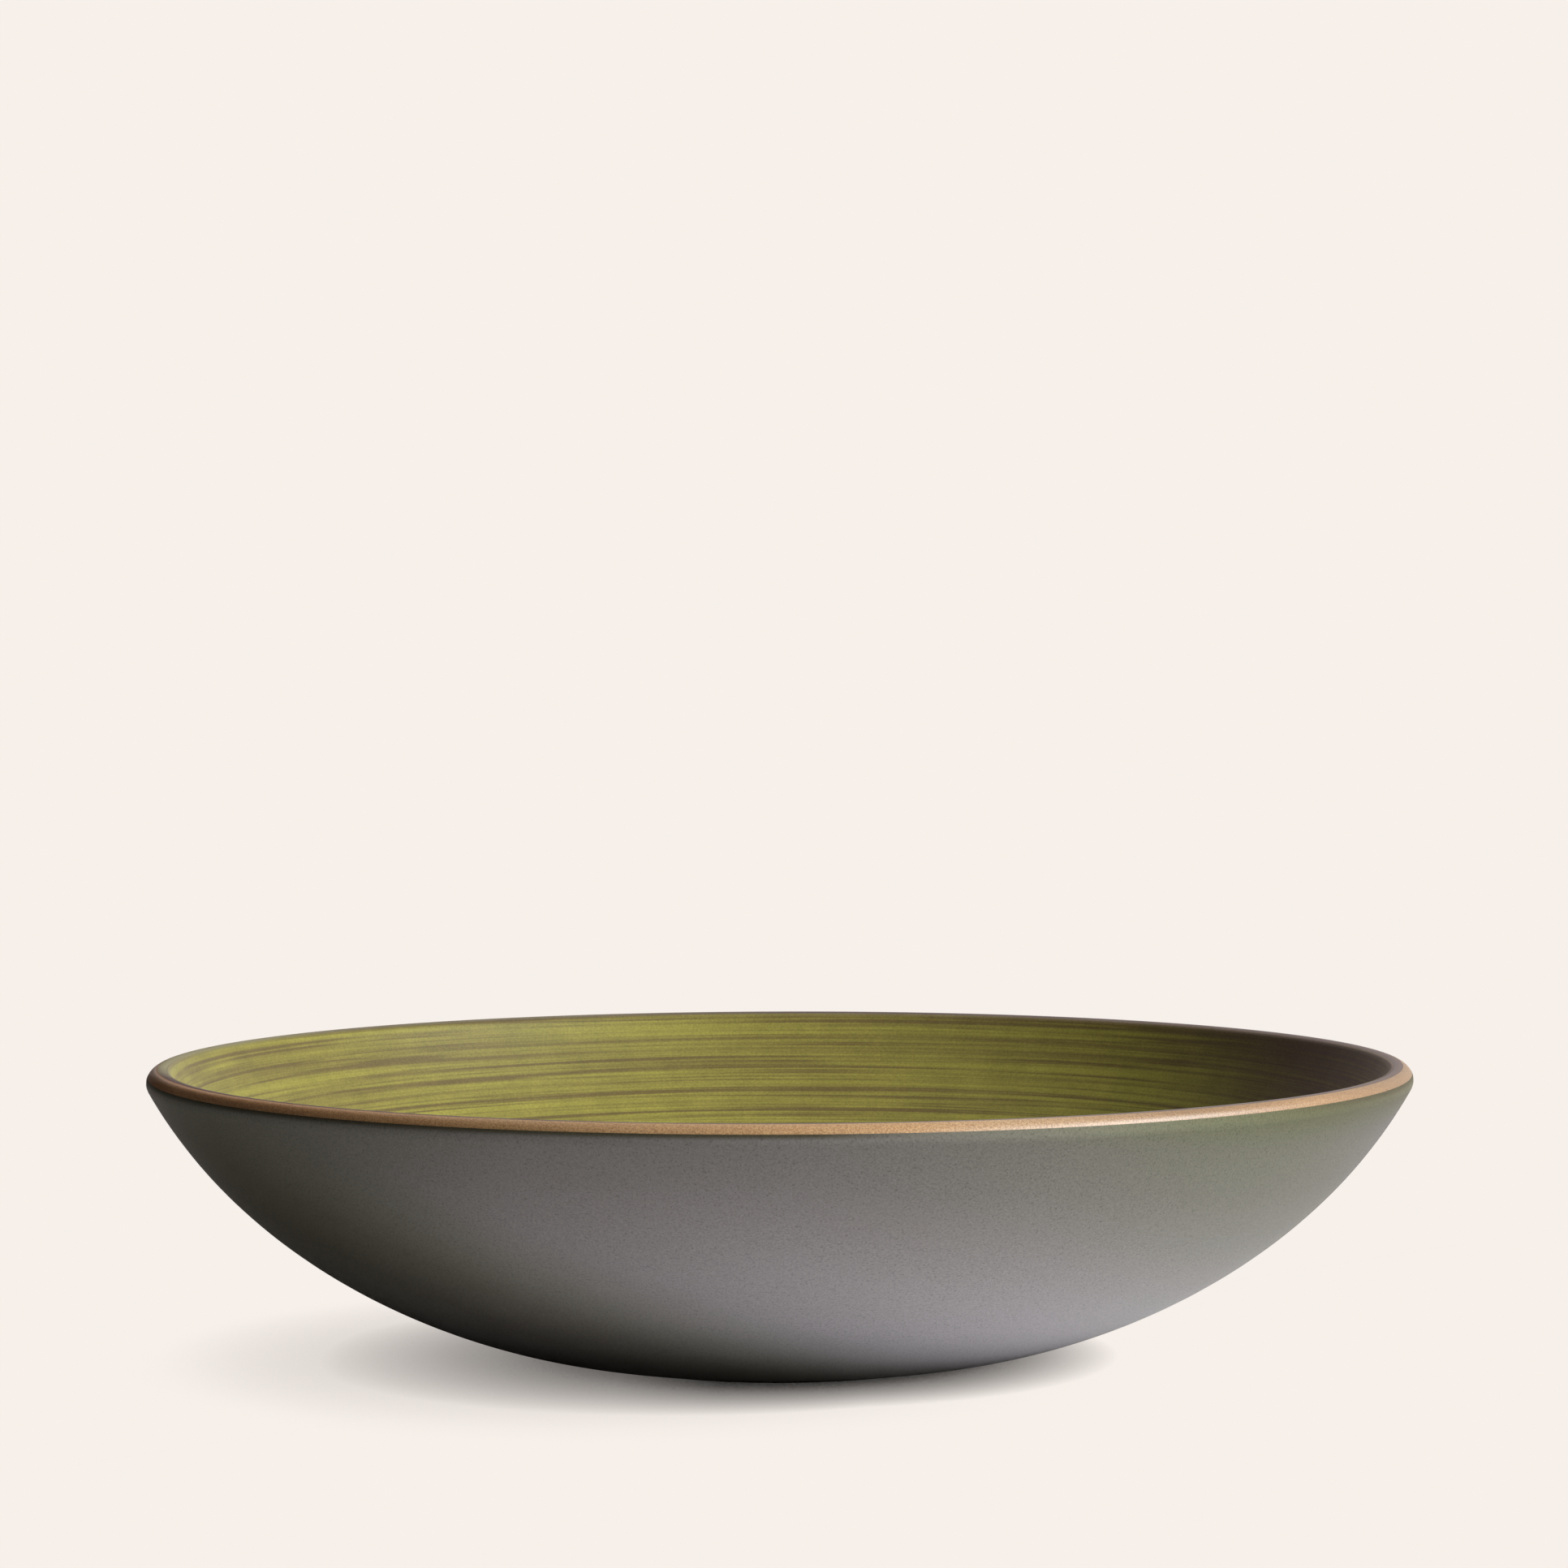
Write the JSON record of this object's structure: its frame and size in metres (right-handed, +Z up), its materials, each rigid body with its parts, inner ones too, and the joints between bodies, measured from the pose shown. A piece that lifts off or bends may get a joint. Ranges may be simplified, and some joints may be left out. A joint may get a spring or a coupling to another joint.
{
  "type": "shallow salad bowl",
  "caption": "Shallow round stoneware serving bowl with a flared wall, bare clay lip, matt grey outside and brushed green inside, standing on a low foot ring.",
  "frame": {"origin": "centre of the foot ring's standing face, on the surface that the bowl stands on", "axes": "+Z up along the bowl's axis of revolution, +X to the right and +Y away from the picture's viewer"},
  "size_m": [0.32, 0.32, 0.075],
  "materials": {
    "bare_stoneware": "unglazed fired clay, fine sandy grain",
    "grey_matt_glaze": "satin matt, fine orange peel",
    "plum_base_glaze": "semi-gloss",
    "green_brush_glaze": "satin, banded with a brush"
  },
  "bodies": {
    "root": {"stoneware_body": "bare_stoneware", "outer_glaze": "grey_matt_glaze", "inner_base_glaze": "plum_base_glaze", "green_brush_glaze": "green_brush_glaze", "foot_well_glaze": "grey_matt_glaze"}
  },
  "joints": []
}
